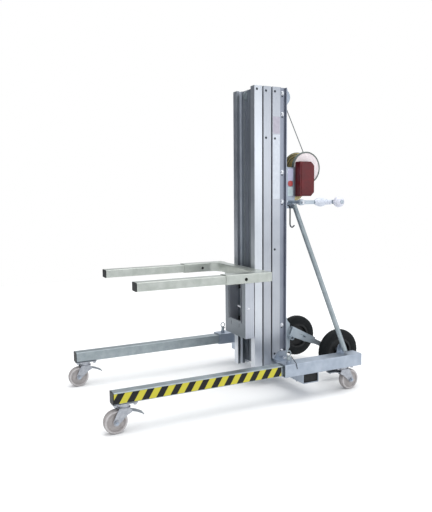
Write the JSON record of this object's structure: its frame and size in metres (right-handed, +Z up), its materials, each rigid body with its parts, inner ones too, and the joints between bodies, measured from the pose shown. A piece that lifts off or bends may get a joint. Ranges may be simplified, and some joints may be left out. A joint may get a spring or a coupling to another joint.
{
  "type": "material hoist",
  "caption": "Hand-cranked material lift: wheeled base with straddle legs, telescopic three-section aluminium mast, fork carriage and geared rope winch",
  "frame": {"origin": "centre of the bounding box's underside, on the floor", "axes": "+Z up along the mast, +X to the crank's side, -Y to the forks' tips, +Y to the transport wheels"},
  "size_m": [0.756, 1.4056, 1.505],
  "materials": {
    "steel_base": "zinc-plated",
    "black_plastic": "matte",
    "console": "zinc-plated",
    "rubber": "matte",
    "steel_tube": "zinc-plated",
    "tape": "striped",
    "caster_steel": "zinc-plated",
    "caster_rubber": "matte",
    "aluminium": "mill",
    "pulley": "turned",
    "gear_zinc": "yellow zinc",
    "cover_red": "painted",
    "grip_white": "satin",
    "rope": "stranded"
  },
  "bodies": {
    "base": {"cross_tube": "steel_base", "cross_tube_caps": "black_plastic", "sleeve_left": "steel_base", "sleeve_right": "steel_base", "brace_tubes": "console", "axle_arms": "steel_base", "transport_axle": "steel_base", "caster_plates_rear": "caster_steel", "mast_outer": "aluminium", "pulley_bracket": "console", "winch_console": "console", "gear_cover": "cover_red", "lift_rope": "rope", "rope_run": "rope"},
    "leg_left": {"leg_left": "steel_tube", "leg_cap_left": "black_plastic", "caster_plate_front_left": "caster_steel"},
    "lock_left": {"lock_screw_left": "steel_tube"},
    "leg_right": {"leg_right": "steel_tube", "leg_cap_right": "black_plastic", "caster_plate_front_right": "caster_steel", "hazard_tape": "tape"},
    "lock_right": {"lock_screw_right": "steel_tube"},
    "caster_front_left": {"caster_fork_front_left": "caster_steel"},
    "wheel_front_left": {"caster_wheel_front_left": "caster_rubber"},
    "pedal_front_left": {"brake_pedal_front_left": "caster_steel"},
    "caster_front_right": {"caster_fork_front_right": "caster_steel"},
    "wheel_front_right": {"caster_wheel_front_right": "caster_rubber"},
    "pedal_front_right": {"brake_pedal_front_right": "caster_steel"},
    "caster_rear_left": {"caster_fork_rear_left": "caster_steel"},
    "wheel_rear_left": {"caster_wheel_rear_left": "caster_rubber"},
    "pedal_rear_left": {"brake_pedal_rear_left": "caster_steel"},
    "caster_rear_right": {"caster_fork_rear_right": "caster_steel"},
    "wheel_rear_right": {"caster_wheel_rear_right": "caster_rubber"},
    "pedal_rear_right": {"brake_pedal_rear_right": "caster_steel"},
    "transport_left": {"tyre_left": "rubber", "wheel_hub_left": "black_plastic"},
    "transport_right": {"tyre_right": "rubber", "wheel_hub_right": "black_plastic"},
    "middle": {"mast_middle": "aluminium", "shoes_middle": "black_plastic", "rope_middle": "rope"},
    "inner": {"mast_inner": "aluminium", "shoes_inner": "black_plastic", "rope_inner": "rope"},
    "carriage": {"carriage_frame": "aluminium", "shoes_carriage": "black_plastic", "fork_frame": "steel_tube"},
    "drum": {"winch_drum": "gear_zinc", "rope_winding": "rope"},
    "idler": {"idler_gear": "gear_zinc"},
    "crank": {"crank": "steel_tube"},
    "grip": {"crank_grip": "grip_white"},
    "head_pulley": {"head_pulley": "pulley"},
    "middle_pulley": {"middle_pulley": "pulley"},
    "inner_pulley": {"inner_pulley": "pulley"},
    "fork_left": {"fork_left": "steel_tube", "fork_cap_left": "black_plastic"},
    "fork_right": {"fork_right": "steel_tube", "fork_cap_right": "black_plastic"}
  },
  "joints": [
    {"name": "leg_left_slide", "type": "slide", "parent": "base", "child": "leg_left", "axis": [0, -1, 0], "range_m": [0, 0.2]},
    {"name": "lock_left_turn", "type": "hinge", "parent": "base", "child": "lock_left", "pos_m": [-0.343, 0.18425, 0.2], "axis": [0, 0, 1], "range_deg": [0, 360]},
    {"name": "leg_right_slide", "type": "slide", "parent": "base", "child": "leg_right", "axis": [0, -1, 0], "range_m": [0, 0.2]},
    {"name": "lock_right_turn", "type": "hinge", "parent": "base", "child": "lock_right", "pos_m": [0.343, 0.18425, 0.2], "axis": [0, 0, 1], "range_deg": [0, 360]},
    {"name": "swivel_front_left", "type": "hinge", "parent": "leg_left", "child": "caster_front_left", "pos_m": [-0.334, -0.61475, 0.105], "axis": [0, 0, 1], "continuous": true},
    {"name": "roll_front_left", "type": "hinge", "parent": "caster_front_left", "child": "wheel_front_left", "pos_m": [-0.334, -0.65275, 0.05], "axis": [1, 0, 0], "continuous": true},
    {"name": "brake_front_left", "type": "hinge", "parent": "caster_front_left", "child": "pedal_front_left", "pos_m": [-0.334, -0.59475, 0.091], "axis": [1, 0, 0], "range_deg": [0, 16]},
    {"name": "swivel_front_right", "type": "hinge", "parent": "leg_right", "child": "caster_front_right", "pos_m": [0.334, -0.61475, 0.105], "axis": [0, 0, 1], "continuous": true},
    {"name": "roll_front_right", "type": "hinge", "parent": "caster_front_right", "child": "wheel_front_right", "pos_m": [0.334, -0.65275, 0.05], "axis": [1, 0, 0], "continuous": true},
    {"name": "brake_front_right", "type": "hinge", "parent": "caster_front_right", "child": "pedal_front_right", "pos_m": [0.334, -0.59475, 0.091], "axis": [1, 0, 0], "range_deg": [0, 16]},
    {"name": "swivel_rear_left", "type": "hinge", "parent": "base", "child": "caster_rear_left", "pos_m": [-0.334, 0.50725, 0.105], "axis": [0, 0, 1], "continuous": true},
    {"name": "roll_rear_left", "type": "hinge", "parent": "caster_rear_left", "child": "wheel_rear_left", "pos_m": [-0.334, 0.54525, 0.05], "axis": [1, 0, 0], "continuous": true},
    {"name": "brake_rear_left", "type": "hinge", "parent": "caster_rear_left", "child": "pedal_rear_left", "pos_m": [-0.334, 0.48725, 0.091], "axis": [1, 0, 0], "range_deg": [0, 16]},
    {"name": "swivel_rear_right", "type": "hinge", "parent": "base", "child": "caster_rear_right", "pos_m": [0.334, 0.50725, 0.105], "axis": [0, 0, 1], "continuous": true},
    {"name": "roll_rear_right", "type": "hinge", "parent": "caster_rear_right", "child": "wheel_rear_right", "pos_m": [0.334, 0.54525, 0.05], "axis": [1, 0, 0], "continuous": true},
    {"name": "brake_rear_right", "type": "hinge", "parent": "caster_rear_right", "child": "pedal_rear_right", "pos_m": [0.334, 0.48725, 0.091], "axis": [1, 0, 0], "range_deg": [0, 16]},
    {"name": "transport_left_roll", "type": "hinge", "parent": "base", "child": "transport_left", "pos_m": [-0.194, 0.58775, 0.152], "axis": [1, 0, 0], "continuous": true},
    {"name": "transport_right_roll", "type": "hinge", "parent": "base", "child": "transport_right", "pos_m": [0.194, 0.58775, 0.152], "axis": [1, 0, 0], "continuous": true},
    {"name": "middle_slide", "type": "slide", "parent": "base", "child": "middle", "axis": [0, 0, 1], "range_m": [0, 0.9], "deforming": ["rope_run"]},
    {"name": "inner_slide", "type": "slide", "parent": "middle", "child": "inner", "axis": [0, 0, 1], "range_m": [0, 0.9], "deforming": ["rope_middle"]},
    {"name": "carriage_slide", "type": "slide", "parent": "inner", "child": "carriage", "axis": [0, 0, 1], "range_m": [0, 0.9], "deforming": ["rope_inner"]},
    {"name": "drum_spin", "type": "hinge", "parent": "base", "child": "drum", "pos_m": [0, 0.48825, 1.106], "axis": [1, 0, 0], "range_deg": [-1156, 0]},
    {"name": "idler_spin", "type": "hinge", "parent": "base", "child": "idler", "pos_m": [0, 0.41765, 0.99093], "axis": [1, 0, 0], "range_deg": [0, 1733]},
    {"name": "crank_spin", "type": "hinge", "parent": "base", "child": "crank", "pos_m": [0, 0.38, 0.92956], "axis": [1, 0, 0], "range_deg": [-5194, 0]},
    {"name": "grip_spin", "type": "hinge", "parent": "crank", "child": "grip", "pos_m": [0.188, 0.58, 0.92956], "axis": [1, 0, 0], "continuous": true},
    {"name": "head_pulley_spin", "type": "hinge", "parent": "base", "child": "head_pulley", "pos_m": [0, 0.31225, 1.44], "axis": [1, 0, 0], "range_deg": [-923, 0]},
    {"name": "middle_pulley_spin", "type": "hinge", "parent": "middle", "child": "middle_pulley", "pos_m": [0.028, 0.22725, 1.465], "axis": [1, 0, 0], "range_deg": [-2581, 0]},
    {"name": "inner_pulley_spin", "type": "hinge", "parent": "inner", "child": "inner_pulley", "pos_m": [-0.028, 0.17625, 1.465], "axis": [1, 0, 0], "range_deg": [-2581, 0]},
    {"name": "fork_left_slide", "type": "slide", "parent": "carriage", "child": "fork_left", "axis": [0, -1, 0], "range_m": [0, 0.12]},
    {"name": "fork_right_slide", "type": "slide", "parent": "carriage", "child": "fork_right", "axis": [0, -1, 0], "range_m": [0, 0.12]}
  ],
  "couplings": [
    {"joint": "inner_slide", "follows": "middle_slide", "ratio": 1},
    {"joint": "carriage_slide", "follows": "middle_slide", "ratio": 1},
    {"joint": "drum_spin", "follows": "middle_slide", "rad_per_m": -22.371},
    {"joint": "idler_spin", "follows": "middle_slide", "rad_per_m": 33.557},
    {"joint": "crank_spin", "follows": "middle_slide", "rad_per_m": -100.67},
    {"joint": "head_pulley_spin", "follows": "middle_slide", "rad_per_m": -17.857},
    {"joint": "middle_pulley_spin", "follows": "middle_slide", "rad_per_m": -50},
    {"joint": "inner_pulley_spin", "follows": "middle_slide", "rad_per_m": -50}
  ]
}
